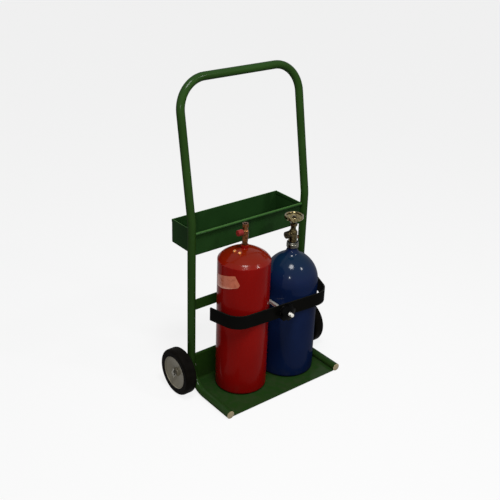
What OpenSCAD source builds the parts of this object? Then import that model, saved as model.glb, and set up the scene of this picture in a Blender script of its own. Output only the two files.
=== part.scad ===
// Two-wheeled cart for one pair of gas cylinders, with a tool tray and a clamp band.
// Millimetres. X runs across the cart, Y runs back and Z runs up.
// The origin lies on the floor, midway between the two legs of the tube.

/* [Frame tube] */
// Distance between the centre lines of the two legs
leg_spread = 445; // [420:1:520]
// Outside diameter of the bent tube
tube_d = 25.4; // [22:0.1:28]
// Wall of the bent tube
tube_wall = 1.65; // [1.2:0.05:3]
// Reach of the two floor runners in front of the legs
runner_reach = 210; // [205:1:260]
// Radius of the bend between runner and leg, on the centre line
foot_bend_r = 76.2; // [60:0.1:85]
// Height at which the legs start to lean back
kink_z = 565; // [560:1:640]
// Lean of the handle behind the upright
handle_lean = 9.8; // [4:0.1:12]
// Radius of the small bend where the lean starts
kink_bend_r = 120; // [80:1:200]
// Height of the centre line of the handle's top bar
handle_z = 988; // [900:1:1080]
// Radius of the two bends at the top of the handle
handle_bend_r = 92; // [70:1:120]

/* [End caps] */
// Thickness of the flange that closes the end of a runner
cap_flange = 2.5; // [1.5:0.1:4]
// Depth of the plug inside the runner
cap_plug_depth = 14; // [8:1:25]

/* [Base plate] */
// Sheet thickness of the base plate
plate_t = 3; // [2:0.1:4]
// Height of the underside of the base plate above the floor
plate_z = 3.2; // [1:0.1:5]
// Inside radius of the fold between floor sheet and upstand
plate_fold_r = 8; // [4:0.5:14]
// Height of the upstand behind the cylinders, to the crest of its rolled edge
upstand_z = 108; // [98:1:130]

/* [Tool tray] */
// Depth of the tray from front to back
tray_depth = 123; // [90:1:140]
// Height of the tray
tray_h = 77; // [55:1:84]
// Height of the underside of the tray above the floor
tray_z = 466; // [464:1:475]
// Sheet thickness of the tray
tray_t = 1.6; // [1:0.1:2.4]
// Outside radius of the rolled front lip
lip_r = 4.8; // [3.5:0.1:5.5]
// Depth of the folded hem on the tray's other edges
hem_h = 9; // [5:0.5:14]

/* [Crossbar] */
// Height of the flat bar behind the cylinders
crossbar_h = 35; // [32:1:44]
// Thickness of that flat bar
crossbar_t = 4.8; // [3:0.1:6]
// Height of its centre line above the floor
crossbar_z = 291; // [286:1:295]

/* [Wheels] */
// Diameter of the tyre
tyre_d = 152.4; // [140:0.1:160]
// Width of the tyre
tyre_w = 39; // [34:0.5:42]
// Diameter of the pressed wheel disc where it meets the tyre
disc_d = 107; // [98:1:112]
// Sheet thickness of the wheel disc
disc_t = 1.6; // [1.2:0.1:2.4]
// Diameter of the axle stubs
axle_d = 12.7; // [11:0.1:13]
// Outside diameter of the wheel bush
bush_d = 19; // [17:0.5:21]
// Length of the wheel bush
bush_len = 32; // [31:0.5:36]
// Length of the spacer between leg and wheel
spacer_len = 17.5; // [14:0.5:24]

/* [Clamp] */
// Height of the flat bar of the band
band_h = 44; // [36:1:50]
// Thickness of the band
band_t = 4.8; // [3:0.1:6]
// Width of the band between its two outside corners, before they are rounded
band_w = 353; // [345:1:370]
// Length of each leg of the band from that corner
band_leg = 107; // [95:1:112]
// Angle by which each leg is splayed from square
band_splay = 17.8; // [8:0.2:22]
// Outside radius of the two corners of the band
band_corner_r = 60; // [45:1:70]
// Height of the rod and of the middle of the band
clamp_z = 284; // [280:1:290]
// Diameter of the clamp rod
rod_d = 12.7; // [10:0.1:13]
// Reach of the clamp rod in front of the legs
rod_reach = 209; // [206:1:225]
// Diameter of the hand knob over its lobes
knob_d = 58; // [46:1:66]
// Thickness of the knob without its boss
knob_h = 17; // [13:0.5:19]

/* [Acetylene cylinder] */
// Outside diameter of the acetylene cylinder
red_d = 165; // [150:0.5:166]
// Height of its shoulder above the foot
red_shoulder = 446.2; // [400:0.1:450]
// Wall thickness of both cylinders
shell_wall = 4; // [2.5:0.1:6]
// Radius of the crown of the acetylene cylinder
red_crown_r = 114.8; // [104:0.1:140]
// Radius of the two edges of the slanting band round its shoulder
red_knuckle_r = 3.5; // [2.5:0.5:8]
// Width of that band between its edges
red_band_w = 9; // [4:0.5:14]

/* [Oxygen cylinder] */
// Outside diameter of the oxygen cylinder
blue_d = 178; // [160:0.5:179]
// Height at which its wall starts to curve in, above the foot
blue_shoulder = 326.3; // [280:0.1:340]
// Distance of the centre of the shoulder's arc from the middle of the cylinder
blue_arc_x = 1; // [0.5:0.1:12]
// Diameter of the steel ring round its neck
neck_ring_d = 38; // [35:0.5:44]
// Height of that ring
neck_ring_h = 17.8; // [14:0.1:24]
// Clear gap between the two cylinders
cylinder_gap = 16.5; // [15:0.5:24]
// Diameter of the handwheel
handwheel_d = 60; // [50:1:68]
// Height of the middle of the handwheel's rim above the neck ring
handwheel_rise = 85.3; // [82:0.1:95]

/* [Hidden] */
$fn = 64;

// Fits
seat_gap = 0.3;
running_gap = 0.08;
weld_gap = 0.15;
overrun = 1;

// Angles
quarter = 90;
arc_step = 40;
hex_half_angle = 30;
lip_turn = 235;

// Frame tube
tube_r = tube_d / 2;
leg_x = leg_spread / 2;
leg_inner_x = leg_x - tube_r;
runner_len = runner_reach - foot_bend_r;
leg_z0 = tube_r + foot_bend_r;
lean_y0 = kink_bend_r * (1 - cos(handle_lean));
lean_z0 = kink_z + kink_bend_r * sin(handle_lean);
lean_len = (handle_z - lean_z0) / cos(handle_lean) - handle_bend_r;
bend_thinning = 0.05;
bend_lap = 1;
sheet_lap = 0.25;
blend_step = 0.02;

// Sheet edges end where they meet the round side of the tube
function tube_side_x(y) = leg_x - sqrt(tube_r * tube_r - y * y);

// Base plate
plate_top = plate_z + plate_t;
upstand_y = tube_r - plate_t;
plate_curl_r = 5.5;
plate_half_w = tube_side_x(tube_r - plate_top) - weld_gap;
upstand_half_w = tube_side_x(upstand_y) - weld_gap;
plate_curl_end = -60;

// Crossbar
crossbar_y = tube_r - crossbar_t;
crossbar_half_w = tube_side_x(crossbar_y) - weld_gap;

// Cylinders stand against the crossbar, side by side
red_r = red_d / 2;
blue_r = blue_d / 2;
back_y = min(crossbar_y, upstand_y) - seat_gap;
red_y = back_y - red_r;
blue_y = back_y - blue_r;
pair_offset = 11;
red_x = pair_offset - cylinder_gap / 2 - red_r;
blue_x = pair_offset + cylinder_gap / 2 + blue_r;
foot_z = plate_top + seat_gap;
foot_edge_r = 9;
foot_dish_r = 260;
foot_dish_depth = 6;

// Neck and valve of the acetylene cylinder
red_top_z = foot_z + red_shoulder;
red_neck_r = 12;
red_neck_h = 8;
red_neck_rise = 10.6;
red_neck_bore_r = 8.5;
red_band_angle = 45;
red_band_dx = red_band_w * cos(red_band_angle);
red_band_dz = red_band_w * sin(red_band_angle);
crown_edge_x = red_r - red_knuckle_r - red_band_dx;
crown_half_angle = asin(crown_edge_x / (red_crown_r - red_knuckle_r));
crown_drop = (red_crown_r - red_knuckle_r) * cos(crown_half_angle);
crown_centre_z = red_top_z + red_band_dz - crown_drop;
red_crown_z = crown_centre_z + red_crown_r;
red_neck_z = red_crown_z + red_neck_rise;
plug_ring_r = 36;
plug_angles = [178, 209];
plug_r = 5.4;
plug_h = 4.5;
plug_head_r = 3.4;
plug_head_h = 1.5;
red_body_foot_r = 8;
red_body_r = 11;
red_body_h = 51;
red_body_flare_h = 38;
red_body_top_h = 4;
red_outlet_rise = 43.4;
red_outlet_r = 7.2;
red_outlet_reach = 27;
red_outlet_bore_r = 3.6;
red_turret_r = 8;
red_turret_h = 7.5;
gland_af_r = 10.3;
gland_h = 11;
gland_recess_r = 6;
gland_recess_h = 5;
stem_r = 4.2;
stem_h = 8;
stem_square = 5.4;
stem_square_h = 7;
outlet_cap_r = 9.4;
outlet_cap_len = 17.5;
outlet_cap_wall = 1.9;
outlet_cap_edge = 1.5;

// Neck and valve of the oxygen cylinder
blue_wall_z = foot_z + blue_shoulder;
blue_cone_angle = 48;
blue_neck_r = 15.5;
blue_neck_fillet = 6;
blue_neck_bore_r = 11.5;
blue_shoulder_r = blue_r - blue_arc_x;
blue_cone_r0 = blue_arc_x + blue_shoulder_r * cos(blue_cone_angle);
blue_cone_z0 = blue_wall_z + blue_shoulder_r * sin(blue_cone_angle);
blue_fillet_x = blue_neck_r + blue_neck_fillet;
blue_cone_r1 = blue_fillet_x - blue_neck_fillet * cos(blue_cone_angle);
blue_cone_z1 = blue_cone_z0 + (blue_cone_r0 - blue_cone_r1) / tan(blue_cone_angle);
blue_fillet_z = blue_cone_z1 + blue_neck_fillet * sin(blue_cone_angle);
ring_r = neck_ring_d / 2;
neck_show = 3.7;
ring_z = blue_fillet_z + neck_show;
ring_top = ring_z + neck_ring_h;
ring_groove = 1.2;
ring_groove_drop = 5;
ring_edge = 0.8;
blue_body_r = 14;
blue_body_h = 43;
blue_body_taper_h = 9;
blue_outlet_rise = 28;
blue_outlet_r = 11.45;
blue_outlet_reach = 29;
blue_outlet_bore_r = 5.5;
safety_rise = 11;
safety_r = 6.6;
safety_h = 4.5;
safety_seat_x = 14.5;
waist_r = 8.5;
waist_h = 6;
bonnet_r = 13;
bonnet_h = 15;
bonnet_taper_h = 7;
spindle_r = 4.4;
spindle_depth = 10;
spindle_tip = 1.5;
wheel_rim_r = 3.2;
wheel_z = ring_top + handwheel_rise;
wheel_ring_r = handwheel_d / 2 - wheel_rim_r;
wheel_hub_r = 9;
wheel_hub_drop = 17;
wheel_hub_h = 13;
wheel_web_t = 4;
wheel_web_rise = 2;
wheel_rim_h = 12;
wheel_flutes = 12;
wheel_flute_r = 5;
wheel_flute_share = 0.7;
wheel_nut_r = 7.5;
wheel_nut_h = 5;

// Axle and wheels
axle_r = axle_d / 2;
axle_y = 2;
axle_z = tyre_d / 2;
axle_stub_out = 3;
axle_in_x = leg_inner_x - axle_stub_out;
washer_t = 2;
washer_r = 11.5;
spacer_r = 9.5;
hub_x0 = leg_x + tube_r + spacer_len + 2 * seat_gap;
hub_x1 = hub_x0 + bush_len;
wheel_x = hub_x0 + bush_len / 2;
cotter_r = 1.6;
cotter_play = 1;
cotter_low = 3;
cotter_high = 1.5;
cotter_x = hub_x1 + washer_t + seat_gap + cotter_r + cotter_play;
axle_tip = 4;
axle_end_x = cotter_x + axle_tip;
axle_chamfer = 1.5;
tyre_r = tyre_d / 2;
disc_r = disc_d / 2;
bush_r = bush_d / 2;
tyre_shoulder_r = 9;
tyre_seat_inset = 5;
tyre_seat_half = tyre_w / 2 - tyre_seat_inset;
tyre_seat_h = 5;
tyre_seat_r = disc_r - tyre_seat_h;
bead_gap = 0.6;
bead_r = disc_r + bead_gap;
bead_round = 1.2;
disc_lip_inset = 1;
disc_dish = 6;
disc_boss_w = 3.4;
disc_boss_h = 4;

// Clamp
rod_r = rod_d / 2;
rod_x = pair_offset;
pair_dx = blue_x - red_x;
pair_dy = blue_y - red_y;
pair_dist = sqrt(pair_dx * pair_dx + pair_dy * pair_dy);
band_tilt = atan2(pair_dy, pair_dx) - asin((blue_r - red_r) / pair_dist);
// The inside face of the band lies on a line that touches both cylinders
band_line_x = red_x + (red_r + seat_gap) * sin(band_tilt);
band_line_y = red_y - (red_r + seat_gap) * cos(band_tilt);
band_inner_y = band_line_y + (rod_x - band_line_x) * tan(band_tilt);
rod_hole_play = 1;
rod_hole_r = rod_r + rod_hole_play;
clamp_washer_r = 17;
clamp_washer_t = 2.5;
nut_r = 11.5;
rod_head_h = 8;
jam_nut_r = 9.5;
jam_nut_h = 4;
knob_boss_r = 11.5;
knob_boss_h = 6;
knob_lobes = 5;
knob_scallop_r = 14;
knob_dome_r = 60;
knob_scallop_share = 0.55;
knob_front_t = 4;
insert_r = 9;
insert_len = knob_boss_h + knob_h - knob_front_t;
knob_lean = knob_boss_r * tan(abs(band_tilt)) + seat_gap;
knob_y = band_inner_y - (band_t + clamp_washer_t) / cos(band_tilt) - knob_lean;

// Bent strip of sheet about the origin, a little thinner than the straight sheet it joins
module arc_strip(r_out, t, a0, a1) {
    steps = ceil(abs(a1 - a0) / arc_step);
    reach = r_out * 2;
    fan = [for (i = [0:steps]) let (a = a0 + (a1 - a0) * i / steps) [reach * cos(a), reach * sin(a)]];
    intersection() {
        difference() {
            circle(r_out - bend_thinning);
            circle(r_out - t + bend_thinning);
        }
        polygon(concat([[0, 0]], fan));
    }
}

// Turns a drawing in Y and Z into a bar along X, centred on the cart
module across(w) {
    translate([-w / 2, 0, 0]) rotate([90, 0, 90]) linear_extrude(w) children();
}

module mirror_pair() {
    children();
    mirror([1, 0, 0]) children();
}

// Bending thins the wall a little, so a bend sits inside the wall of the straight tube beside it
module tube_ring(thinning) {
    difference() {
        circle(tube_r - thinning);
        circle(tube_r - tube_wall + thinning);
    }
}

module tube_straight(h) {
    linear_extrude(h) tube_ring(0);
}

// Bend about the Z axis, its centre line at radius r from that axis
module tube_bend(r, angle) {
    rotate_extrude(angle = angle) translate([r, 0]) tube_ring(bend_thinning);
}

// Runner, leg and handle side of the right half
module tube_half() {
    translate([leg_x, -runner_reach, tube_r]) rotate([-90, 0, 0]) tube_straight(runner_len + bend_lap);
    translate([leg_x, -foot_bend_r, leg_z0]) rotate([90, 0, 90]) rotate([0, 0, -90])
        tube_bend(foot_bend_r, quarter);
    translate([leg_x, 0, leg_z0 - bend_lap]) tube_straight(kink_z - leg_z0 + 2 * bend_lap);
    translate([leg_x, kink_bend_r, kink_z]) rotate([90, 0, 90]) rotate([0, 0, 180 - handle_lean])
        tube_bend(kink_bend_r, handle_lean);
    translate([leg_x, lean_y0, lean_z0]) rotate([-handle_lean, 0, 0]) {
        translate([0, 0, -bend_lap]) tube_straight(lean_len + 2 * bend_lap);
        translate([-handle_bend_r, 0, lean_len]) rotate([90, 0, 0]) tube_bend(handle_bend_r, quarter);
    }
}

module frame_tube() {
    bar_half = leg_x - handle_bend_r + bend_lap;
    color("darkgreen") difference() {
        union() {
            mirror_pair() tube_half();
            translate([0, lean_y0, lean_z0]) rotate([-handle_lean, 0, 0])
                translate([-bar_half, 0, lean_len + handle_bend_r]) rotate([0, 90, 0])
                    tube_straight(2 * bar_half);
        }
        mirror_pair() translate([leg_inner_x - overrun, axle_y, axle_z]) rotate([0, 90, 0])
            cylinder(r = axle_r + weld_gap, h = tube_d + 2 * overrun);
    }
}

module end_caps() {
    plug_r0 = tube_r - tube_wall - weld_gap;
    dome_r = tube_r * 4;
    color("ivory") mirror_pair() translate([leg_x, -runner_reach, tube_r]) rotate([90, 0, 0]) {
        intersection() {
            cylinder(r = tube_r, h = cap_flange);
            translate([0, 0, cap_flange - dome_r]) sphere(dome_r);
        }
        difference() {
            translate([0, 0, -cap_plug_depth]) cylinder(r = plug_r0, h = cap_plug_depth);
            translate([0, 0, -cap_plug_depth - overrun]) cylinder(r = plug_r0 - tube_wall, h = cap_plug_depth);
        }
    }
}

// Section of the base plate's upstand with its fold and its rolled edge
module upstand_section() {
    curl_z = upstand_z - plate_curl_r;
    fold_z = plate_top + plate_fold_r;
    translate([upstand_y - plate_fold_r, fold_z]) arc_strip(plate_fold_r + plate_t, plate_t, -90, 0);
    translate([upstand_y, fold_z - sheet_lap]) square([plate_t, curl_z - fold_z + 2 * sheet_lap]);
    translate([upstand_y + plate_curl_r, curl_z]) arc_strip(plate_curl_r, plate_t, 180, plate_curl_end);
}

module base_plate() {
    floor_len = runner_reach + upstand_y - plate_fold_r + sheet_lap;
    color("green") union() {
        across(2 * plate_half_w) translate([-runner_reach, plate_z]) square([floor_len, plate_t]);
        across(2 * upstand_half_w) upstand_section();
    }
}

module crossbar() {
    color("darkolivegreen") difference() {
        translate([-crossbar_half_w, crossbar_y, crossbar_z - crossbar_h / 2])
            cube([2 * crossbar_half_w, crossbar_t, crossbar_h]);
        translate([rod_x, crossbar_y - overrun, clamp_z]) rotate([-90, 0, 0])
            cylinder(r = rod_r + weld_gap, h = crossbar_t + 2 * overrun);
    }
}

// Section of the tray: front wall with its rolled lip, floor, back wall with its hem
module tray_section() {
    front_y = tray_t;
    fold_r = 2 * tray_t;
    top_z = tray_z + tray_h;
    lip_z = top_z - lip_r;
    back = front_y + tray_depth;
    side_z = tray_z + fold_r - sheet_lap;
    translate([front_y + tray_t - lip_r, lip_z]) arc_strip(lip_r, tray_t, 0, lip_turn);
    translate([front_y, side_z]) square([tray_t, lip_z + sheet_lap - side_z]);
    translate([front_y + fold_r, tray_z + fold_r]) arc_strip(fold_r, tray_t, 180, 270);
    translate([front_y + fold_r - sheet_lap, tray_z]) square([tray_depth - 2 * (fold_r - sheet_lap), tray_t]);
    translate([back - fold_r, tray_z + fold_r]) arc_strip(fold_r, tray_t, 270, 360);
    translate([back - tray_t, side_z]) square([tray_t, top_z - tray_t - side_z]);
    translate([back - tray_t, top_z - hem_h]) square([2 * tray_t, hem_h - tray_t]);
    translate([back, top_z - tray_t]) circle(tray_t - blend_step);
}

// Outline of the tray's end walls
module tray_end_outline() {
    fold_r = 2 * tray_t;
    difference() {
        translate([tray_t, tray_z]) square([tray_depth, tray_h]);
        for (y = [tray_t, tray_t + tray_depth - fold_r])
            translate([y, tray_z]) square(fold_r);
    }
    for (y = [tray_t + fold_r, tray_t + tray_depth - fold_r])
        translate([y, tray_z + fold_r]) circle(fold_r);
}

module tool_tray() {
    half_w = leg_inner_x - seat_gap;
    top_z = tray_z + tray_h;
    color("forestgreen") union() {
        across(2 * half_w) tray_section();
        mirror_pair() {
            translate([half_w - tray_t, 0, 0]) rotate([90, 0, 90]) linear_extrude(tray_t) tray_end_outline();
            translate([half_w - 2 * tray_t, 3 * tray_t, top_z - hem_h])
                cube([2 * tray_t, tray_depth - 3 * tray_t, hem_h]);
        }
    }
}

// One stub through each leg, welded to the tube
module axle() {
    len = axle_end_x - axle_in_x;
    color("slategray") mirror_pair() difference() {
        translate([axle_in_x, axle_y, axle_z]) rotate([0, 90, 0]) {
            cylinder(r = axle_r, h = len - axle_chamfer);
            translate([0, 0, len - axle_chamfer])
                cylinder(r1 = axle_r, r2 = axle_r - axle_chamfer, h = axle_chamfer);
        }
        translate([cotter_x, axle_y, axle_z - axle_r - overrun])
            cylinder(r = cotter_r + running_gap, h = 2 * (axle_r + overrun));
    }
}

module on_axle(x, h, r) {
    translate([x, axle_y, axle_z]) rotate([0, 90, 0]) difference() {
        cylinder(r = r, h = h);
        translate([0, 0, -overrun]) cylinder(r = axle_r + running_gap, h = h + 2 * overrun);
    }
}

module axle_spacers() {
    color("dimgray") mirror_pair() on_axle(leg_x + tube_r + seat_gap, spacer_len, spacer_r);
}

module axle_washers() {
    color("silver") mirror_pair() on_axle(hub_x1 + seat_gap, washer_t, washer_r);
}

// Split pin with an eye on top of the axle and two spread tails below
module cotter_pins() {
    eye_r = 3.4;
    eye_wire_share = 0.8;
    tail_len = 6;
    tail_angle = 55;
    tail_wire_share = 0.7;
    stem_low = axle_r + cotter_low;
    stem_top = axle_r + cotter_high;
    color("gainsboro") mirror_pair() translate([cotter_x, axle_y, axle_z]) {
        translate([0, 0, -stem_low]) cylinder(r = cotter_r, h = stem_low + stem_top);
        translate([0, 0, stem_top + eye_r]) rotate([0, 90, 0])
            rotate_extrude() translate([eye_r, 0]) circle(cotter_r * eye_wire_share);
        for (side = [-1, 1])
            translate([0, 0, -stem_low]) rotate([side * tail_angle, 0, 0]) translate([0, 0, -tail_len])
                cylinder(r = cotter_r * tail_wire_share, h = tail_len + cotter_r / 2);
    }
}

// Pressed disc, turned about the axle: rolled lip, dished web and a raised boss round the bush
module wheel_disc() {
    hole = bush_r + weld_gap;
    boss_r = hole + disc_boss_w;
    lip_x = tyre_w / 2 - disc_lip_inset;
    edge_x = tyre_seat_half + disc_t;
    web_x = edge_x - disc_dish;
    boss_x = web_x + disc_boss_h;
    rotate_extrude() polygon([
        [hole, boss_x], [hole, boss_x - disc_t], [boss_r - disc_t, boss_x - disc_t],
        [boss_r, web_x - disc_t], [tyre_seat_r, edge_x - disc_t], [disc_r - disc_t, edge_x - disc_t],
        [disc_r, edge_x], [disc_r, lip_x], [disc_r - disc_t, lip_x], [disc_r - 2 * disc_t, edge_x],
        [tyre_seat_r - disc_t, edge_x], [boss_r + disc_t, web_x], [boss_r, boss_x]
    ]);
}

module on_wheel(side) {
    translate([side * wheel_x, axle_y, axle_z]) rotate([0, side * 90, 0]) children();
}

module wheel_bush(side) {
    on_wheel(side) difference() {
        cylinder(r = bush_r, h = bush_len, center = true);
        cylinder(r = axle_r + running_gap, h = bush_len + 2 * overrun, center = true);
    }
}

module left_wheel_outer_disc() {
    color("lightgray") on_wheel(-1) wheel_disc();
}

module left_wheel_inner_disc() {
    color("darkgray") on_wheel(-1) mirror([0, 0, 1]) wheel_disc();
}

module left_wheel_bush() {
    color("peru") wheel_bush(-1);
}

module left_tyre() {
    color("dimgray") on_wheel(-1) rotate_extrude() tyre_area();
}

module right_wheel_outer_disc() {
    color("lightgray") on_wheel(1) wheel_disc();
}

module right_wheel_inner_disc() {
    color("darkgray") on_wheel(1) mirror([0, 0, 1]) wheel_disc();
}

module right_wheel_bush() {
    color("peru") wheel_bush(1);
}

module right_tyre() {
    color("dimgray") on_wheel(1) rotate_extrude() tyre_area();
}

// Section of the tyre, with X as the radius: sides, rounded shoulders, tread and bead
module tyre_area() {
    half = tyre_w / 2;
    seat_half = tyre_seat_half - weld_gap;
    seat_r = tyre_seat_r + weld_gap;
    shoulder_x = tyre_r - tyre_shoulder_r;
    shoulder_y = half - tyre_shoulder_r;
    side = [
        [shoulder_x, half], [bead_r + bead_round, half], [bead_r, half - bead_round],
        [bead_r, seat_half], [seat_r, seat_half]
    ];
    polygon(concat(side, [for (i = [4:-1:0]) [side[i][0], -side[i][1]]]));
    translate([shoulder_x - overrun, -shoulder_y]) square([tyre_shoulder_r + overrun, 2 * shoulder_y]);
    for (s = [-1, 1]) translate([shoulder_x, s * shoulder_y]) circle(tyre_shoulder_r - blend_step);
}

// Rod through the crossbar with a hexagon head behind it
module clamp_rod() {
    back = tube_r + weld_gap;
    shank = rod_reach - axle_chamfer;
    color("lightsteelblue") translate([rod_x, 0, clamp_z]) rotate([90, 0, 0]) {
        translate([0, 0, -back]) cylinder(r = rod_r, h = shank + back);
        translate([0, 0, shank]) cylinder(r1 = rod_r, r2 = rod_r - axle_chamfer, h = axle_chamfer);
        translate([0, 0, -back - rod_head_h]) cylinder(r = nut_r, h = rod_head_h, $fn = 6);
    }
}

module clamp_rod_nuts() {
    color("silver") translate([rod_x, crossbar_y - weld_gap, clamp_z]) rotate([90, 0, 0]) difference() {
        cylinder(r = jam_nut_r, h = jam_nut_h, $fn = 6);
        translate([0, 0, -overrun]) cylinder(r = rod_r + running_gap, h = jam_nut_h + 2 * overrun);
    }
}

// Moves to the middle of the band's inside face; local Y runs back, X along the band
module on_band() {
    translate([rod_x, band_inner_y, clamp_z]) rotate([0, 0, band_tilt]) children();
}

// Plan of the band, the inside face of its straight front on Y = 0
module band_plan() {
    turn = quarter - band_splay;
    inset = band_corner_r * tan(turn / 2);
    front = band_w / 2 - inset;
    translate([-front - bend_lap, -band_t]) square([2 * (front + bend_lap), band_t]);
    for (s = [0, 1]) mirror([s, 0]) translate([front, band_corner_r - band_t]) {
        arc_strip(band_corner_r, band_t, -90, turn - 90);
        rotate(turn - 90) translate([band_corner_r - band_t, -bend_lap])
            square([band_t, band_leg - inset + bend_lap]);
    }
}

module clamp_band() {
    color("black") on_band() difference() {
        translate([0, 0, -band_h / 2]) linear_extrude(band_h) band_plan();
        rotate([90, 0, 0]) translate([0, 0, -overrun]) cylinder(r = rod_hole_r, h = band_t + 2 * overrun);
    }
}

module clamp_washer() {
    color("gray") on_band() rotate([90, 0, 0]) translate([0, 0, band_t]) difference() {
        cylinder(r = clamp_washer_r, h = clamp_washer_t);
        translate([0, 0, -overrun]) cylinder(r = rod_hole_r, h = clamp_washer_t + 2 * overrun);
    }
}

// Star knob: a scalloped disc under a dome, with a boss towards the band
module clamp_knob() {
    lobe_r = knob_d / 2;
    scallop_ring = lobe_r + knob_scallop_r * knob_scallop_share;
    height = knob_boss_h + knob_h;
    color("black") translate([rod_x, knob_y, clamp_z]) rotate([90, 0, 0]) difference() {
        union() {
            cylinder(r = knob_boss_r, h = knob_boss_h + overrun);
            translate([0, 0, knob_boss_h]) intersection() {
                cylinder(r = lobe_r, h = knob_h);
                translate([0, 0, knob_h - knob_dome_r]) sphere(knob_dome_r);
            }
        }
        for (i = [0:knob_lobes - 1]) rotate([0, 0, (i + 0.5) * 360 / knob_lobes])
            translate([scallop_ring, 0, -overrun]) cylinder(r = knob_scallop_r, h = height + 2 * overrun);
        translate([0, 0, -overrun]) cylinder(r = insert_r + weld_gap, h = insert_len + weld_gap + overrun);
        translate([0, 0, -overrun]) cylinder(r = rod_hole_r, h = height + 2 * overrun);
    }
}

module knob_insert() {
    color("goldenrod") translate([rod_x, knob_y, clamp_z]) rotate([90, 0, 0]) difference() {
        cylinder(r = insert_r, h = insert_len);
        translate([0, 0, -overrun]) cylinder(r = rod_r + running_gap, h = insert_len + 2 * overrun);
    }
}

module on_red() {
    translate([red_x, red_y, 0]) children();
}

module on_blue() {
    translate([blue_x, blue_y, 0]) children();
}

// Half section of a cylinder body with a hollow foot, inset by the given skin
module body_area(r, top, skin) {
    edge_z = foot_z + foot_edge_r;
    difference() {
        union() {
            translate([0, foot_z + skin]) square([r - foot_edge_r, top - foot_z - skin]);
            translate([0, edge_z]) square([r - skin, top - edge_z]);
            translate([r - foot_edge_r, edge_z]) circle(foot_edge_r - skin - blend_step);
        }
        translate([0, foot_z + foot_dish_depth - foot_dish_r]) circle(foot_dish_r + skin);
    }
}

// Pie slice between two angles, its tip at the origin
module slice(r, a0, a1) {
    reach = 2 * r;
    mid = (a0 + a1) / 2;
    intersection() {
        circle(r);
        polygon([for (i = [0:3]) i == 0 ? [0, 0] : let(a = [a0, mid, a1][i - 1]) reach * [cos(a), sin(a)]]);
    }
}

// Half section of the acetylene cylinder: body, slanting band round the shoulder, crown
module red_area(skin) {
    inset = max(red_knuckle_r, skin + bend_lap);
    edge_r = inset - skin;
    x0 = red_r - inset;
    z0 = red_top_z - (inset - red_knuckle_r) * tan(red_band_angle / 2);
    reach = red_crown_r - inset;
    rise = z0 - crown_centre_z;
    across = rise * sin(red_band_angle) - x0 * cos(red_band_angle);
    run = sqrt(across * across + reach * reach - x0 * x0 - rise * rise) - across;
    x1 = x0 - run * cos(red_band_angle);
    z1 = z0 + run * sin(red_band_angle);
    c = edge_r * sin(red_band_angle);
    s = edge_r * cos(red_band_angle);
    body_area(red_r, z0, skin);
    translate([x0, z0]) circle(edge_r - blend_step);
    translate([x1, z1]) circle(edge_r - blend_step);
    polygon([
        [0, z0 - overrun], [x0, z0 - overrun], [x0 + c, z0 + s],
        [x1 + c, z1 + s], [0, z1]
    ]);
    translate([0, crown_centre_z]) slice(red_crown_r - skin, quarter - asin(x1 / reach), quarter);
}

module acetylene_shell() {
    color("firebrick") on_red() difference() {
        union() {
            rotate_extrude() red_area(0);
            translate([0, 0, red_crown_z - red_neck_h])
                cylinder(r = red_neck_r, h = red_neck_h + red_neck_rise);
        }
        rotate_extrude() red_area(shell_wall);
        translate([0, 0, red_top_z]) cylinder(r = red_neck_bore_r, h = red_crown_r);
    }
}

// Porous filling that soaks up the liquid the gas is dissolved in
module acetylene_filler() {
    color("wheat") on_red() rotate_extrude() red_area(shell_wall + seat_gap);
}

module acetylene_fusible_plugs() {
    tilt = asin(plug_ring_r / red_crown_r);
    seat_z = crown_centre_z + red_crown_r * cos(tilt);
    color("goldenrod") on_red() for (a = plug_angles) rotate([0, 0, a]) translate([plug_ring_r, 0, seat_z])
        rotate([0, tilt, 0]) {
            cylinder(r = plug_r, h = plug_h, $fn = 6);
            translate([0, 0, plug_h]) cylinder(r = plug_head_r, h = plug_head_h);
        }
}

module acetylene_valve_body() {
    stub = shell_wall + red_neck_h;
    taper_z = red_body_h - red_body_top_h;
    color("darkgoldenrod") on_red() translate([0, 0, red_neck_z]) difference() {
        union() {
            translate([0, 0, -stub]) cylinder(r = red_neck_bore_r - weld_gap, h = stub);
            cylinder(r1 = red_body_foot_r, r2 = red_body_r, h = red_body_flare_h);
            translate([0, 0, red_body_flare_h]) cylinder(r = red_body_r, h = taper_z - red_body_flare_h);
            translate([0, 0, taper_z]) cylinder(r1 = red_body_r, r2 = red_turret_r, h = red_body_top_h);
            cylinder(r = red_turret_r, h = red_body_h + red_turret_h);
            translate([0, 0, red_outlet_rise]) rotate([0, -90, 0])
                cylinder(r = red_outlet_r, h = red_outlet_reach);
        }
        translate([-red_body_r, 0, red_outlet_rise]) rotate([0, -90, 0])
            cylinder(r = red_outlet_bore_r, h = red_outlet_reach);
        translate([0, 0, red_outlet_rise]) cylinder(r = stem_r + running_gap, h = red_body_h);
    }
}

// Hexagon nut with a round well in its top for the square of the stem
module acetylene_packing_nut() {
    color("gold") on_red() translate([0, 0, red_neck_z + red_body_h + red_turret_h + weld_gap]) difference() {
        cylinder(r = gland_af_r, h = gland_h, $fn = 6);
        translate([0, 0, gland_h - gland_recess_h]) cylinder(r = gland_recess_r, h = gland_recess_h + overrun);
        translate([0, 0, -overrun]) cylinder(r = stem_r + running_gap, h = gland_h + 2 * overrun);
    }
}

module acetylene_valve_stem() {
    round_top = red_neck_z + red_body_h + red_turret_h + gland_h - gland_recess_h;
    round_len = stem_h + gland_h;
    color("khaki") on_red() union() {
        translate([0, 0, round_top - round_len]) cylinder(r = stem_r, h = round_len);
        translate([-stem_square / 2, -stem_square / 2, round_top])
            cube([stem_square, stem_square, stem_square_h]);
    }
}

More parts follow.
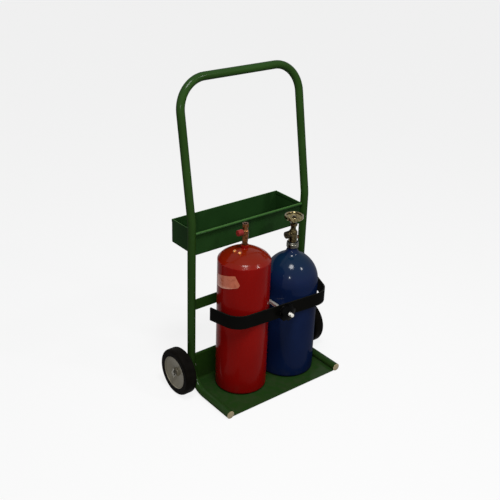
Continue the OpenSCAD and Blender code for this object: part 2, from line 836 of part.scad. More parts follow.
module acetylene_outlet_cap() {
    reach = red_outlet_reach + outlet_cap_wall + seat_gap;
    side_len = outlet_cap_len - outlet_cap_edge;
    cap_z = red_neck_z + red_outlet_rise;
    color("crimson") on_red() translate([-reach, 0, cap_z]) rotate([0, 90, 0]) difference() {
        union() {
            translate([0, 0, outlet_cap_edge]) cylinder(r = outlet_cap_r, h = side_len);
            cylinder(r1 = outlet_cap_r - outlet_cap_edge, r2 = outlet_cap_r, h = outlet_cap_edge);
        }
        translate([0, 0, outlet_cap_wall]) cylinder(r = red_outlet_r + seat_gap, h = outlet_cap_len);
    }
}

// Half section of the oxygen cylinder: body, ogive shoulder, cone and neck
module blue_area(skin, neck_top) {
    arc_r = blue_shoulder_r - skin;
    fillet_r = blue_neck_fillet + skin;
    neck_r = blue_neck_r - skin;
    c = cos(blue_cone_angle);
    s = sin(blue_cone_angle);
    body_area(blue_r, blue_wall_z, skin);
    intersection() {
        translate([blue_arc_x, blue_wall_z]) circle(arc_r - blend_step);
        translate([0, blue_wall_z - overrun]) square(blue_r);
    }
    difference() {
        polygon([
            [0, blue_wall_z - overrun], [blue_arc_x, blue_wall_z - overrun],
            [blue_arc_x + arc_r * c, blue_wall_z + arc_r * s],
            [blue_fillet_x - fillet_r * c, blue_fillet_z - fillet_r * s], [blue_fillet_x, blue_fillet_z],
            [neck_r, blue_fillet_z], [neck_r, neck_top], [0, neck_top]
        ]);
        translate([blue_fillet_x, blue_fillet_z]) circle(fillet_r + blend_step);
    }
}

module oxygen_shell() {
    color("mediumblue") on_blue() difference() {
        rotate_extrude() blue_area(0, ring_top);
        rotate_extrude() blue_area(shell_wall, ring_top + overrun);
    }
}

module oxygen_neck_ring() {
    groove_z = ring_top - ring_groove_drop;
    bore = blue_neck_r + weld_gap;
    color("silver") on_blue() rotate_extrude() polygon([
        [bore, ring_z], [ring_r - ring_edge, ring_z], [ring_r, ring_z + ring_edge],
        [ring_r, groove_z - ring_groove], [ring_r - ring_groove, groove_z],
        [ring_r - ring_groove, groove_z + ring_groove], [ring_r - ring_edge, groove_z + 2 * ring_groove],
        [ring_r - ring_edge, ring_top - ring_edge],
        [ring_r - 2 * ring_edge, ring_top], [bore, ring_top]
    ]);
}

// Forged body with a waist above it, the outlet on one side and the safety plug's seat on the other
module oxygen_valve_body() {
    stub = neck_ring_h;
    stub_r = blue_neck_r - shell_wall - weld_gap;
    taper_z = blue_body_h - blue_body_taper_h;
    color("gray") on_blue() translate([0, 0, ring_top + weld_gap]) difference() {
        union() {
            translate([0, 0, -stub]) cylinder(r = stub_r, h = stub);
            cylinder(r = blue_body_r, h = taper_z);
            translate([0, 0, taper_z]) cylinder(r1 = blue_body_r, r2 = waist_r, h = blue_body_taper_h);
            cylinder(r = waist_r, h = blue_body_h + waist_h);
            translate([0, 0, blue_outlet_rise]) rotate([0, -90, 0])
                cylinder(r = blue_outlet_r, h = blue_outlet_reach);
            translate([0, 0, safety_rise]) rotate([0, 90, 0]) cylinder(r = safety_r, h = safety_seat_x);
        }
        translate([-blue_body_r, 0, blue_outlet_rise]) rotate([0, -90, 0])
            cylinder(r = blue_outlet_bore_r, h = blue_outlet_reach);
        translate([0, 0, blue_outlet_rise]) cylinder(r = spindle_r + running_gap, h = blue_body_h);
    }
}

module oxygen_safety_plug() {
    color("goldenrod") on_blue() translate([safety_seat_x + weld_gap, 0, ring_top + weld_gap + safety_rise])
        rotate([0, 90, 0]) cylinder(r = safety_r, h = safety_h, $fn = 6);
}

module oxygen_bonnet_nut() {
    seat_z = ring_top + blue_body_h + waist_h + 2 * weld_gap;
    color("slategray") on_blue() translate([0, 0, seat_z]) difference() {
        union() {
            cylinder(r1 = waist_r, r2 = bonnet_r * cos(hex_half_angle), h = bonnet_taper_h);
            translate([0, 0, bonnet_taper_h]) cylinder(r = bonnet_r, h = bonnet_h - bonnet_taper_h, $fn = 6);
        }
        translate([0, 0, -overrun]) cylinder(r = spindle_r + running_gap, h = bonnet_h + 2 * overrun);
    }
}

module oxygen_spindle() {
    low = ring_top + blue_body_h - spindle_depth;
    top = wheel_z - wheel_hub_drop + wheel_hub_h + wheel_nut_h + spindle_tip;
    color("lightgray") on_blue() translate([0, 0, low]) cylinder(r = spindle_r, h = top - low);
}

// Cast wheel: a dished web inside a deep fluted rim, with a hub below
module oxygen_handwheel() {
    hub_z = wheel_z - wheel_hub_drop;
    web_r = wheel_hub_r - bend_lap;
    web_z = hub_z + wheel_web_rise;
    web = [
        [web_r, web_z], [wheel_ring_r, wheel_z - wheel_web_t / 2],
        [wheel_ring_r, wheel_z + wheel_web_t / 2], [web_r, web_z + wheel_web_t]
    ];
    rim_half = wheel_rim_h / 2 - wheel_rim_r;
    flute_x = handwheel_d / 2 + wheel_flute_r * wheel_flute_share;
    flute_h = 2 * (rim_half + 2 * wheel_rim_r);
    color("lightgoldenrodyellow") on_blue() difference() {
        union() {
            rotate_extrude() polygon(web);
            translate([0, 0, wheel_z]) rotate_extrude() for (side = [-1, 1])
                translate([wheel_ring_r, side * rim_half]) circle(wheel_rim_r);
            translate([0, 0, wheel_z - rim_half]) rotate_extrude()
                translate([wheel_ring_r - wheel_rim_r, 0]) square([2 * wheel_rim_r, 2 * rim_half]);
            translate([0, 0, hub_z]) cylinder(r = wheel_hub_r, h = wheel_hub_h);
        }
        for (i = [0:wheel_flutes - 1]) rotate([0, 0, (i + 0.5) * 360 / wheel_flutes])
            translate([flute_x, 0, wheel_z - flute_h / 2]) cylinder(r = wheel_flute_r, h = flute_h);
        translate([0, 0, hub_z - overrun]) cylinder(r = spindle_r + weld_gap, h = wheel_hub_h + 2 * overrun);
    }
}

module oxygen_wheel_nut() {
    seat_z = wheel_z - wheel_hub_drop + wheel_hub_h + weld_gap;
    color("silver") on_blue() translate([0, 0, seat_z]) difference() {
        cylinder(r = wheel_nut_r, h = wheel_nut_h, $fn = 6);
        translate([0, 0, -overrun]) cylinder(r = spindle_r + weld_gap, h = wheel_nut_h + 2 * overrun);
    }
}

frame_tube();
end_caps();
base_plate();
crossbar();
tool_tray();
axle();
axle_spacers();
axle_washers();
cotter_pins();
left_wheel_outer_disc();
left_wheel_inner_disc();
left_wheel_bush();
left_tyre();
right_wheel_outer_disc();
right_wheel_inner_disc();
right_wheel_bush();
right_tyre();
clamp_rod();
clamp_rod_nuts();
clamp_band();
clamp_washer();
clamp_knob();
knob_insert();
acetylene_shell();
acetylene_filler();
acetylene_fusible_plugs();
acetylene_valve_body();
acetylene_packing_nut();
acetylene_valve_stem();
acetylene_outlet_cap();
oxygen_shell();
oxygen_neck_ring();
oxygen_valve_body();
oxygen_safety_plug();
oxygen_bonnet_nut();
oxygen_spindle();
oxygen_handwheel();
oxygen_wheel_nut();
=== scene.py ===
import math

import bmesh
import bpy
from mathutils import Matrix, Vector


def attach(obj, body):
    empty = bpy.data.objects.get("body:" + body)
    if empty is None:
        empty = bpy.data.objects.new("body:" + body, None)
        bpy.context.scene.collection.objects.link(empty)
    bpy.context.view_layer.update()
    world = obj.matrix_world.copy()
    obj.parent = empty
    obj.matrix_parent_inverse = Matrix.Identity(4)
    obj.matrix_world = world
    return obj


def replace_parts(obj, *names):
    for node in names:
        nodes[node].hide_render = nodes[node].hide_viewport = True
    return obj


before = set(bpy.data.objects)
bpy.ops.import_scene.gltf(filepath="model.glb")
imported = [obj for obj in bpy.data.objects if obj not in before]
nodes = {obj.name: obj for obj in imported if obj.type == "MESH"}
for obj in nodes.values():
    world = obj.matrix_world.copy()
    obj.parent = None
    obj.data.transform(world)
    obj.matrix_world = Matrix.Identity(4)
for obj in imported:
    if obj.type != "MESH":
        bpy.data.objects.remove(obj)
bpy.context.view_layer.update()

print("cart loaded,", len(nodes), "nodes")

red = (-0.07975, -0.0749)   # axis of the acetylene cylinder
blue = (0.10825, -0.0814)   # axis of the oxygen cylinder


# One socket of a material, so that sums and products can be written out
class Flow:
    def __init__(self, look, socket):
        self.look = look
        self.socket = socket

    def pick(self, name):
        return Flow(self.look, self.socket.node.outputs[name])

    def math(self, operation, other=0.0):
        return self.look.node("ShaderNodeMath", {"operation": operation}, {0: self, 1: other})

    def __add__(self, other):
        return self.math("ADD", other)

    def __mul__(self, other):
        return self.math("MULTIPLY", other)

    __radd__ = __add__
    __rmul__ = __mul__


# The nodes of one material, or of the world
class Look:
    usual = (0.3, 0.7)   # between these lies most of a cloud

    def __init__(self, owner):
        owner.use_nodes = True
        self.owner = owner
        self.tree = owner.node_tree
        self.tree.nodes.clear()

    def node(self, kind, settings, inputs):
        made = self.tree.nodes.new(kind)
        for name, value in settings.items():
            setattr(made, name, value)
        for name, value in inputs.items():
            if isinstance(value, Flow):
                self.tree.links.new(value.socket, made.inputs[name])
            else:
                made.inputs[name].default_value = value
        return Flow(self, made.outputs[0]) if made.outputs else None

    def coordinates(self, kind="Object"):
        return self.node("ShaderNodeTexCoord", {}, {}).pick(kind)

    # How far along an axis a place on the object is or, of kind Normal, how far its surface faces that way
    def along(self, axis, kind="Object"):
        return self.node("ShaderNodeSeparateXYZ", {}, {0: self.coordinates(kind)}).pick(axis)

    # Clouds of about size metres; shift sets them apart from others of the same seed
    def cloud(self, size, detail, shift, seed=0.0):
        where = self.node("ShaderNodeMapping", {},
                          {"Vector": self.coordinates(), "Location": (seed + shift,) * 3})
        return self.node("ShaderNodeTexNoise", {}, {"Vector": where, "Scale": 1 / size, "Detail": detail})

    def spread(self, value, low, high, atLow=0.0, atHigh=1.0):
        limits = {"From Min": low, "From Max": high, "To Min": atLow, "To Max": atHigh}
        return self.node("ShaderNodeMapRange", {}, {"Value": value, **limits})

    # The Mix node's sockets 6 and 7 and its output 2 are the ones for colours
    def mix(self, mask, under, over):
        return self.node("ShaderNodeMix", {"data_type": "RGBA"}, {0: mask, 6: under, 7: over}).pick(2)

    def bump(self, height, distance, under=None):
        inputs = {"Height": height, "Distance": distance}
        if under:
            inputs["Normal"] = under
        return self.node("ShaderNodeBump", {}, inputs)

    def finish(self, flows, fixed):
        shader = self.node("ShaderNodeBsdfPrincipled", {}, {**flows, **fixed})
        self.node("ShaderNodeOutputMaterial", {}, {"Surface": shader})
        return self.owner


def tone(colour):
    return (*colour, 1.0)


# Sprayed paint: slow colour drift, soft orange peel, a few dulled places, some dirt near the floor and
# painted light
# from above: another shade on faces that point up, for the light and reflection they take. A cloud is its
# size, detail and shift.
paintWork = {
    "drift": (0.11, 2.0, 0), "rub": (0.012, 6.0, 3), "places": (0.15, 2.0, 7), "sheen": (0.04, 3.0, 5),
    "specks": (0.02, 4.0, 1), "peel": (0.0045, 1.0, 2),
    "rubbed": (0.38, 0.45), "speckled": (0.4, 0.7),          # where these clouds begin and are full
    "paintedToplightFacing": (0.3, 1.0), "coatFacing": (0.05, 0.4),     # how far the surface faces up
    "dirt": (0.035, 0.03, 0.022), "dirtHeight": 0.05, "dirtShare": 0.25,
    "sheenRange": 0.06, "rubbedRough": 0.15, "dirtRough": 0.5,
}


def makePaint(name, spec):
    look = Look(bpy.data.materials.new(name))
    drift = look.cloud(*paintWork["drift"], spec["seed"])
    base = look.mix(look.spread(drift, *look.usual), tone(spec["deep"]), tone(spec["fresh"]))
    rub = look.cloud(*paintWork["rub"], spec["seed"])
    places = look.cloud(*paintWork["places"], spec["seed"])
    worn = look.spread(rub * places, *paintWork["rubbed"]) * spec["wear"]
    base = look.mix(worn, base, tone(spec["rubbed"]))
    facing = look.along("Z", "Normal")
    # painted light from above: faces that point up take another shade, lighter or darker, for the light and
    # reflection that fall on them
    base = look.mix(look.spread(facing, *paintWork["paintedToplightFacing"]), base, tone(spec["paintedToplight"]))
    low = look.spread(look.along("Z"), 0.0, paintWork["dirtHeight"], 1.0, 0.0)
    specks = look.spread(look.cloud(*paintWork["specks"]), *paintWork["speckled"])
    dirt = low * specks * paintWork["dirtShare"]
    base = look.mix(dirt, base, tone(paintWork["dirt"]))
    sheen = look.cloud(*paintWork["sheen"], spec["seed"])
    rough = look.spread(sheen, *look.usual, spec["gloss"], spec["gloss"] + paintWork["sheenRange"])
    rough = rough + worn * paintWork["rubbedRough"] + dirt * paintWork["dirtRough"]
    coat = look.spread(facing, *paintWork["coatFacing"], *spec["coat"])
    peel = look.bump(look.cloud(*paintWork["peel"]), spec["peel"])
    return look.finish({"Base Color": base, "Roughness": rough, "Coat Weight": coat, "Normal": peel},
                       {"Specular IOR Level": spec["shine"], "Specular Tint": tone(spec["tint"]),
                        "Coat Roughness": spec["gloss"]})


# Bare or plated metal with clouds of tarnish and fine scratches; a thread shows as bumped rings along one
# axis, with painted shade in its roots.
# The clouds of tarnish and polish take their size from the metal's grain, so only detail and shift are here.
metalWork = {
    "tarnish": (4.0, 0), "polish": (5.0, 2), "scratches": (0.0009, 2.0, 4),
    "tarnished": (0.35, 0.68), "polishShare": 0.5, "polishRange": 0.14,
    # painted shade in a thread's roots: the heights over which it fades out
    "paintedRootShade": (-1.0, 0.2, 0.75, 0.0),   # deepest and last height of a thread's dark root, and its share at each
}


def makeMetal(name, spec):
    look = Look(bpy.data.materials.new(name))
    haze = look.cloud(spec["grain"], *metalWork["tarnish"], spec["seed"])
    tarnish = look.spread(haze, *metalWork["tarnished"])
    base = look.mix(tarnish, tone(spec["bright"]), tone(spec["tarnish"]))
    polish = look.cloud(spec["grain"] * metalWork["polishShare"], *metalWork["polish"], spec["seed"])
    rough = look.spread(polish, *look.usual, spec["polish"], spec["polish"] + metalWork["polishRange"])
    surface = look.bump(look.cloud(*metalWork["scratches"]), spec["pits"])
    if "thread" in spec:
        thread = spec["thread"]
        ridge = (look.along(thread["axis"]) * (2 * math.pi / thread["pitch"])).math("SINE")
        zone = 1.0
        for axis, low, high in thread["zone"]:
            place = look.along(axis)
            zone = zone * place.math("GREATER_THAN", low) * place.math("LESS_THAN", high)
        # painted shade in the roots of the thread, where the bump alone casts none
        base = look.mix(look.spread(ridge, *metalWork["paintedRootShade"]) * zone, base, tone(thread["paintedRootShade"]))
        surface = look.bump(ridge * zone, thread["depth"], surface)
    return look.finish({"Base Color": base, "Roughness": rough, "Normal": surface}, {"Metallic": 1.0})


# Plain or lightly textured plastic, rubber and the stony filler
mouldedWork = {
    "mottle": (0.03, 4.0, 0), "sheen": (0.006, 4.0, 1), "grain": (0.0011, 2.0, 1),
    "smoother": 0.06, "rougher": 0.08,
}


def makeMoulded(name, spec):
    look = Look(bpy.data.materials.new(name))
    mottle = look.cloud(*mouldedWork["mottle"], spec["seed"])
    base = look.mix(look.spread(mottle, *look.usual), tone(spec["dark"]), tone(spec["light"]))
    sheen = look.cloud(*mouldedWork["sheen"], spec["seed"])
    smoothest, roughest = spec["rough"] - mouldedWork["smoother"], spec["rough"] + mouldedWork["rougher"]
    rough = look.spread(sheen, *look.usual, smoothest, roughest)
    grain = look.bump(look.cloud(*mouldedWork["grain"]), spec["grain"])
    return look.finish({"Base Color": base, "Roughness": rough, "Normal": grain},
                       {"Specular IOR Level": spec["shine"]})


# Coat is the weight of the clear coat on upright and on upward faces; peel is in metres. The shade for faces
# that point up is painted light from above
paints = {
    "framePaint": {
        "deep": (0.0098, 0.0275, 0.0042), "fresh": (0.0130, 0.0365, 0.0058), "rubbed": (0.016, 0.045, 0.014),
        "paintedToplight": (0.0095, 0.0290, 0.0055), "tint": (0.6, 1.0, 0.4), "coat": (0.06, 0.13),
        "gloss": 0.16, "shine": 0.0, "wear": 0.25, "peel": 0.00006, "seed": 0.0},
    "trayPaint": {
        "deep": (0.0080, 0.0270, 0.0062), "fresh": (0.0105, 0.0350, 0.0082), "rubbed": (0.016, 0.045, 0.014),
        "paintedToplight": (0.030, 0.085, 0.018), "tint": (0.6, 1.0, 0.4), "coat": (0.05, 0.12),
        "gloss": 0.24, "shine": 0.0, "wear": 0.25, "peel": 0.00006, "seed": 0.0},
    "redPaint": {
        "deep": (0.145, 0.0018, 0.0012), "fresh": (0.170, 0.0030, 0.0020), "rubbed": (0.17, 0.012, 0.009),
        "paintedToplight": (0.108, 0.0062, 0.0004), "tint": (1.0, 0.75, 0.6), "coat": (0.03, 0.22),
        "gloss": 0.16, "shine": 0.02, "wear": 0.2, "peel": 0.00002, "seed": 11.0},
    "bluePaint": {
        "deep": (0.0024, 0.0068, 0.0300), "fresh": (0.0036, 0.0095, 0.0380), "rubbed": (0.006, 0.015, 0.045),
        "paintedToplight": (0.0020, 0.0115, 0.0275), "tint": (0.8, 0.92, 1.0), "coat": (0.07, 0.20),
        "gloss": 0.13, "shine": 0.0, "wear": 0.2, "peel": 0.00002, "seed": 23.0},
    "bandPaint": {
        "deep": (0.0014, 0.0014, 0.0011), "fresh": (0.0028, 0.0027, 0.0022), "rubbed": (0.007, 0.007, 0.006),
        "paintedToplight": (0.006, 0.006, 0.005), "tint": (1.0, 1.0, 0.9), "coat": (0.04, 0.06),
        "gloss": 0.34, "shine": 0.0, "wear": 0.4, "peel": 0.00006, "seed": 31.0},
    "discPaint": {
        "deep": (0.100, 0.088, 0.058), "fresh": (0.165, 0.147, 0.104), "rubbed": (0.050, 0.043, 0.030),
        "paintedToplight": (0.2, 0.18, 0.13), "tint": (1.0, 0.95, 0.8), "coat": (0.5, 0.5),
        "gloss": 0.3, "shine": 0.0, "wear": 0.5, "peel": 0.00005, "seed": 41.0},
}
# Grain, pits, pitch and depth are in metres; a thread lies where every axis of its zone is within its limits
metals = {
    "zincSteel": {
        "bright": (0.26, 0.25, 0.22), "tarnish": (0.09, 0.084, 0.07),
        "grain": 0.006, "polish": 0.24, "pits": 0.00003, "seed": 1.0},
    "threadSteel": {
        "bright": (0.82, 0.81, 0.76), "tarnish": (0.60, 0.58, 0.52),
        "grain": 0.006, "polish": 0.38, "pits": 0.00002, "seed": 7.0,
        "thread": {"axis": "Y", "pitch": 0.001954, "depth": 0.0003, "paintedRootShade": (0.05, 0.047, 0.04),
                   "zone": [("Y", -1.0, -0.145)]}},
    "neckSteel": {
        "bright": (0.11, 0.108, 0.090), "tarnish": (0.030, 0.029, 0.022),
        "grain": 0.006, "polish": 0.24, "pits": 0.00005, "seed": 2.0},
    "brass": {
        "bright": (0.16, 0.062, 0.022), "tarnish": (0.040, 0.016, 0.007),
        "grain": 0.005, "polish": 0.24, "pits": 0.00004, "seed": 3.0},
    "plugBrass": {
        "bright": (0.85, 0.48, 0.20), "tarnish": (0.55, 0.22, 0.09),
        "grain": 0.006, "polish": 0.3, "pits": 0.00003, "seed": 8.0},
    "darkBrass": {
        "bright": (0.085, 0.066, 0.030), "tarnish": (0.006, 0.0045, 0.003),
        "grain": 0.005, "polish": 0.16, "pits": 0.00004, "seed": 4.0,
        "thread": {"axis": "X", "pitch": 0.00181, "depth": 0.0003, "paintedRootShade": (0.006, 0.0045, 0.003),
                   "zone": [("X", 0.0, blue[0] - 0.0155), ("Z", 0.476, 0.505)]}},
    "wheelBush": {
        "bright": (0.3, 0.26, 0.2), "tarnish": (0.12, 0.1, 0.08),
        "grain": 0.004, "polish": 0.4, "pits": 0.00006, "seed": 5.0},
    "chrome": {
        "bright": (0.24, 0.20, 0.10), "tarnish": (0.040, 0.032, 0.014),
        "grain": 0.006, "polish": 0.12, "pits": 0.00003, "seed": 6.0},
}
moulded = {
    "tyreRubber": {
        "dark": (0.0024, 0.0021, 0.0017), "light": (0.0046, 0.0041, 0.0033),
        "rough": 0.5, "shine": 0.008, "grain": 0.00008, "seed": 1.0},
    "knobPlastic": {
        "dark": (0.0014, 0.0014, 0.0014), "light": (0.0026, 0.0026, 0.0026),
        "rough": 0.3, "shine": 0.015, "grain": 0.00002, "seed": 2.0},
    "capPlastic": {
        "dark": (0.11, 0.008, 0.007), "light": (0.17, 0.013, 0.010),
        "rough": 0.42, "shine": 0.12, "grain": 0.00003, "seed": 3.0},
    "plugPlastic": {
        "dark": (0.20, 0.16, 0.085), "light": (0.32, 0.27, 0.16),
        "rough": 0.42, "shine": 0.3, "grain": 0.00003, "seed": 4.0},
    "fillerStone": {
        "dark": (0.5, 0.45, 0.36), "light": (0.66, 0.6, 0.5),
        "rough": 0.85, "shine": 0.3, "grain": 0.0004, "seed": 5.0},
}
looks = {name: makePaint(name, spec) for name, spec in paints.items()}
looks.update({name: makeMetal(name, spec) for name, spec in metals.items()})
looks.update({name: makeMoulded(name, spec) for name, spec in moulded.items()})

# Which pieces of the plain solids get which look
dressing = {
    "framePaint": ["frame_tube", "base_plate", "crossbar"],
    "trayPaint": ["tool_tray"],
    "plugPlastic": ["end_caps"],
    "zincSteel": ["axle", "axle_spacers", "axle_washers", "cotter_pins", "clamp_rod_nuts", "clamp_washer"],
    "threadSteel": ["clamp_rod"],
    "discPaint": ["left_wheel_outer_disc", "left_wheel_inner_disc",
                  "right_wheel_outer_disc", "right_wheel_inner_disc"],
    "wheelBush": ["left_wheel_bush", "right_wheel_bush"],
    "tyreRubber": ["left_tyre", "right_tyre"],
    "bandPaint": ["clamp_band"],
    "knobPlastic": ["clamp_knob"],
    "plugBrass": ["acetylene_fusible_plugs"],
    "brass": ["knob_insert", "acetylene_valve_body", "acetylene_packing_nut", "acetylene_valve_stem",
              "oxygen_safety_plug"],
    "darkBrass": ["oxygen_valve_body", "oxygen_bonnet_nut", "oxygen_spindle"],
    "redPaint": ["acetylene_shell"],
    "fillerStone": ["acetylene_filler"],
    "capPlastic": ["acetylene_outlet_cap"],
    "bluePaint": ["oxygen_shell"],
    "neckSteel": ["oxygen_neck_ring"],
    "chrome": ["oxygen_handwheel", "oxygen_wheel_nut"],
}
for lookName, dressed in dressing.items():
    for nodeName in dressed:
        nodes[nodeName].data.materials.clear()
        nodes[nodeName].data.materials.append(looks[lookName])
print("materials on", sum(len(dressed) for dressed in dressing.values()), "nodes")

sharpFrom = math.radians(35)   # an edge that bends by this much or more stays sharp


# Makes a finished mesh a piece of the cart, with its look and its moving body
def keepPiece(name, mesh, look, body):
    bmesh.ops.recalc_face_normals(mesh, faces=mesh.faces)
    for face in mesh.faces:
        face.smooth = True
    for edge in mesh.edges:
        edge.smooth = edge.calc_face_angle(0) < sharpFrom
    data = bpy.data.meshes.new(name)
    mesh.to_mesh(data)
    mesh.free()
    data.materials.append(looks[look])
    piece = bpy.data.objects.new(name, data)
    bpy.context.collection.objects.link(piece)
    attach(piece, body)
    return piece


# Both cylinders with the soft bends between wall, shoulder and neck that the plain solids have as edges and
# cones. Each is a line drawn from the middle of the foot and spun round: one number goes straight on, two go
# round a bend of that radius by that many degrees, positive towards the inside.
foot = {"start": 0.01262, "radius": 0.26, "rise": 0.006, "bend": 0.005}
footTurn = math.degrees(math.acos(1 - foot["rise"] / foot["radius"]))
footMoves = [(foot["radius"], -footTurn), (foot["bend"], footTurn)]
bottles = {
    "acetylene_bottle": {
        "node": "acetylene_shell", "place": red, "look": "redPaint", "slot": "red_paint", "wall": 0.0034,
        "moves": footMoves + [(0.01691,), (0.009, 90), (0.43663,), (0.0055, 43), (0.00939,), (0.018, 15),
                              (0.01198,), (0.1148, 25.116), (0.002, -83.116), (0.00944,)]},
    "oxygen_bottle": {
        "node": "oxygen_shell", "place": blue, "look": "bluePaint", "slot": "blue_paint", "wall": 0.004,
        "moves": footMoves + [(0.02341,), (0.009, 90), (0.3149,), (0.09642, 64.4), (0.033, -64.4),
                              (0.01522,)]},
}
lathe = {"steps": 128, "bendStep": 2.5, "extraSteps": 2, "merge": 0.000005}   # bendStep is in degrees


# Draws the line of a cylinder, moved in by skin, and gives its last vertex
def drawWall(mesh, moves, skin):
    heading = 0.0
    last = mesh.verts.new((0, 0, foot["start"] + skin))
    for move in moves:
        if len(move) == 1:
            step = Vector((math.cos(heading), 0, math.sin(heading))) * move[0]
            ahead = bmesh.ops.extrude_vert_indiv(mesh, verts=[last])["verts"][0]
            ahead.co = last.co + step
            last = ahead
        else:
            radius, turn = move
            hand = math.copysign(1, turn)
            reach = (radius - hand * skin) * hand
            middle = last.co + Vector((-math.sin(heading), 0, math.cos(heading))) * reach
            steps = round(abs(turn) / lathe["bendStep"]) + lathe["extraSteps"]
            made = bmesh.ops.spin(mesh, geom=[last], cent=middle, axis=(0, 1, 0),
                                  angle=-math.radians(turn), steps=steps)
            last = [item for item in made["geom_last"] if isinstance(item, bmesh.types.BMVert)][0]
            heading += math.radians(turn)
    return last


for name, bottle in bottles.items():
    shell = bmesh.new()
    mouth = [drawWall(shell, bottle["moves"], skin) for skin in (0, bottle["wall"])]
    shell.edges.new(mouth)
    bmesh.ops.spin(shell, geom=shell.verts[:] + shell.edges[:], cent=(0, 0, 0), axis=(0, 0, 1),
                   angle=2 * math.pi, steps=lathe["steps"], use_merge=True)
    bmesh.ops.remove_doubles(shell, verts=shell.verts, dist=lathe["merge"])
    bmesh.ops.translate(shell, verts=shell.verts, vec=(*bottle["place"], 0))
    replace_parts(keepPiece(name, shell, bottle["look"], "cart"), bottle["node"])
print("cylinders made")

# Blank patch on the side of the acetylene cylinder, cut from a sheet along its outline and wrapped round.
# The strip is its paler lower edge, full and ended so far below the patch's height, and slanting with Y.
patch = {
    "radius": 0.0829, "middle": 190, "height": 0.4,
    "thick": 0.0003, "size": 0.12, "steps": 48, "merge": 0.0002,
    "outline": [(-0.046, 0.012), (0.0337, 0.0314), (0.049, 0.0023), (0.044, -0.007), (0.010, -0.0175),
                (-0.018, -0.0245), (-0.046, -0.026)],
    "dark": (0.30, 0.062, 0.026), "light": (0.40, 0.098, 0.045), "cloud": (0.012, 3.0, 8),
    "rough": (0.24, 0.34), "shine": 0.35, "grain": 0.00003,
    "strip": (0.66, 0.36, 0.27), "stripFull": 0.036, "stripEnd": 0.022, "stripSlant": 0.12,
    "stripShare": 0.85,
}


def makePatchLook():
    look = Look(bpy.data.materials.new("patchPaper"))
    cloudy = look.cloud(*patch["cloud"])
    base = look.mix(look.spread(cloudy, *look.usual), tone(patch["dark"]), tone(patch["light"]))
    level = look.along("Z") + look.along("Y") * patch["stripSlant"]
    full, end = patch["height"] - patch["stripFull"], patch["height"] - patch["stripEnd"]
    strip = look.spread(level, full, end, 1.0, 0.0)
    base = look.mix(strip * patch["stripShare"], base, tone(patch["strip"]))
    rough = look.spread(cloudy, *look.usual, *patch["rough"])
    return look.finish({"Base Color": base, "Roughness": rough, "Normal": look.bump(cloudy, patch["grain"])},
                       {"Specular IOR Level": patch["shine"]})


looks["patchPaper"] = makePatchLook()
sheet = bmesh.new()
bmesh.ops.create_grid(sheet, x_segments=patch["steps"], y_segments=patch["steps"], size=patch["size"] / 2)
corners = [Vector((*corner, 0)) for corner in patch["outline"]]
for start, stop in zip(corners, corners[1:] + corners[:1]):
    outward = Vector((-(stop - start).y, (stop - start).x, 0))
    bmesh.ops.bisect_plane(sheet, geom=sheet.verts[:] + sheet.edges[:] + sheet.faces[:],
                           plane_co=start, plane_no=outward, clear_outer=True)
bmesh.ops.remove_doubles(sheet, verts=sheet.verts, dist=patch["merge"])
for vert in sheet.verts:
    turn = math.radians(patch["middle"]) + vert.co.x / patch["radius"]
    vert.co = (red[0] + patch["radius"] * math.cos(turn), red[1] + patch["radius"] * math.sin(turn),
               patch["height"] + vert.co.y)
bmesh.ops.recalc_face_normals(sheet, faces=sheet.faces)
bmesh.ops.solidify(sheet, geom=sheet.faces[:], thickness=patch["thick"])
keepPiece("blank_patch", sheet, "patchPaper", "cart")
print("patch made")

# Weld beads, each a row of flattened ripples painted over with the frame. A line is its two ends and its
# thickness, and it is made on both sides of the cart.
welds = {
    "ripple": 0.0024, "flatness": 0.75, "sway": 0.12, "beat": 2.3, "fewest": 2,
    "lines": {
        "crossbar_welds": [((0.2144, 0.0109, 0.2755), (0.2144, 0.0109, 0.3065), 0.0021)],
        "upstand_welds": [((0.2152, 0.0112, 0.0915), (0.2152, 0.0112, 0.1045), 0.0018)],
        "tray_welds": [((0.2100, 0.0056, 0.4700), (0.2100, 0.0056, 0.5320), 0.0015)],
        "plate_welds": [((0.2119, -0.196, 0.0067), (0.2119, -0.172, 0.0067), 0.0017),
                        ((0.2119, -0.132, 0.0067), (0.2119, -0.106, 0.0067), 0.0017)],
    },
}


def addRipple(mesh, place, along, thick):
    squash = Matrix.Diagonal((thick, thick, welds["ripple"] * welds["flatness"], 1))
    turn = along.to_track_quat("Z", "Y").to_matrix().to_4x4()
    matrix = Matrix.Translation(place) @ turn @ squash
    bmesh.ops.create_icosphere(mesh, subdivisions=2, radius=1.0, matrix=matrix)


for name, lines in welds["lines"].items():
    bead = bmesh.new()
    for start, stop, thick in lines:
        for hand in (1, -1):
            first, last = Vector((start[0] * hand, *start[1:])), Vector((stop[0] * hand, *stop[1:]))
            count = max(welds["fewest"], round((last - first).length / welds["ripple"]))
            for i in range(count + 1):
                wave = 1 + welds["sway"] * math.sin(i * welds["beat"])
                addRipple(bead, first.lerp(last, i / count), last - first, thick * wave)
    keepPiece(name, bead, "framePaint", "cart")

# Ring of ripples round each axle stub, on the inner side of the leg's tube, whose middle is at leg
stub = {"y": 0.002, "z": 0.0762, "ring": 0.0074, "leg": 0.2225, "tube": 0.0127, "thick": 0.0015, "count": 20}
bead = bmesh.new()
for hand in (1, -1):
    for i in range(stub["count"]):
        turn = 2 * math.pi * i / stub["count"]
        across, up = stub["ring"] * math.cos(turn), stub["ring"] * math.sin(turn)
        deep = stub["leg"] - math.sqrt(stub["tube"] ** 2 - (stub["y"] + across) ** 2)
        place = Vector((hand * deep, stub["y"] + across, stub["z"] + up))
        addRipple(bead, place, Vector((0, -up, across)), stub["thick"])
keepPiece("axle_welds", bead, "framePaint", "cart")
print("welds made")

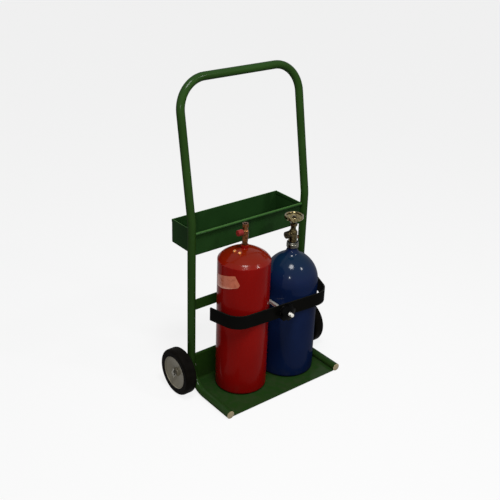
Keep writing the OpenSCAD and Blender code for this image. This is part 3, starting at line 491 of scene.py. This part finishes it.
# Camera of the photograph: angles in degrees, lens in millimetres
view = {"place": (-1.5001, -1.8355, 1.5873), "yaw": -39.306, "pitch": -26.047, "roll": 2.072, "lens": 59.93,
        "near": 0.05, "far": 50}
yaw, pitch, roll = (math.radians(view[angle]) for angle in ("yaw", "pitch", "roll"))
ahead = Vector((-math.sin(yaw) * math.cos(pitch), math.cos(yaw) * math.cos(pitch), math.sin(pitch)))
side = Vector((math.cos(yaw), math.sin(yaw), 0))
above = side.cross(ahead)
turned = side * math.cos(roll) + above * math.sin(roll)
upright = above * math.cos(roll) - side * math.sin(roll)
lens = bpy.data.cameras.new("camera")
lens.lens = view["lens"]
lens.clip_start, lens.clip_end = view["near"], view["far"]
camera = bpy.data.objects.new("camera", lens)
heading = Matrix((turned, upright, -ahead)).transposed().to_4x4()
camera.matrix_world = Matrix.Translation(view["place"]) @ heading
bpy.context.collection.objects.link(camera)
bpy.context.scene.camera = camera

# Pale floor and world, white where they are seen and dimmer for the light that they give. The floor stays
# part grey, so that it keeps the shadow.
studio = {"floorSize": 30, "floorDrop": 0.0002, "floorGrey": 0.55, "floorWhite": 0.85, "roomGrey": 0.22}


# 1 for a ray from the camera, straight, mirrored or through glass
def seenRays(look):
    rays = look.node("ShaderNodeLightPath", {}, {})
    kinds = ("Is Camera Ray", "Is Glossy Ray", "Is Transmission Ray")
    straight, mirrored, passed = (rays.pick(kind) for kind in kinds)
    return straight.math("MAXIMUM", mirrored).math("MAXIMUM", passed)


slab = bmesh.new()
bmesh.ops.create_grid(slab, x_segments=1, y_segments=1, size=studio["floorSize"])
floorData = bpy.data.meshes.new("floor")
slab.to_mesh(floorData)
slab.free()
floor = bpy.data.objects.new("floor", floorData)
bpy.context.collection.objects.link(floor)
floor.location.z = -studio["floorDrop"]
plain = Look(bpy.data.materials.new("floorPaint"))
dull = plain.node("ShaderNodeBsdfDiffuse", {}, {"Color": tone((studio["floorGrey"],) * 3)})
glow = plain.node("ShaderNodeEmission", {}, {"Color": tone((1, 1, 1)), "Strength": 1.0})
blend = plain.node("ShaderNodeMixShader", {}, {0: seenRays(plain) * studio["floorWhite"], 1: dull, 2: glow})
plain.node("ShaderNodeOutputMaterial", {}, {"Surface": blend})
floorData.materials.append(plain.owner)

sky = Look(bpy.data.worlds.new("studio"))
bpy.context.scene.world = sky.owner
power = sky.mix(seenRays(sky), tone((studio["roomGrey"],) * 3), tone((1, 1, 1)))
backdrop = sky.node("ShaderNodeBackground", {}, {"Color": power, "Strength": 1.0})
sky.node("ShaderNodeOutputWorld", {}, {"Surface": backdrop})

lampTarget = Vector((0, -0.05, 0.4))
lamps = {   # size in metres, power in watts
    "topLamp": {"place": (-0.50, -0.84, 2.56), "size": 0.72, "power": 62},
    "rightLamp": {"place": (1.02, -1.74, 2.2), "size": 0.26, "power": 19},
    "nearLamp": {"place": (-1.62, -1.79, 1.46), "size": 0.17, "power": 14},
}
for name, lamp in lamps.items():
    light = bpy.data.lights.new(name, "AREA")
    light.shape = "DISK"
    light.size = lamp["size"]
    light.energy = lamp["power"]
    stand = bpy.data.objects.new(name, light)
    aim = lampTarget - Vector(lamp["place"])
    stand.rotation_mode = "QUATERNION"
    stand.rotation_quaternion = aim.to_track_quat("-Z", "Y")
    stand.location = lamp["place"]
    bpy.context.collection.objects.link(stand)
bpy.context.scene.view_settings.view_transform = "Standard"
print("studio set up")
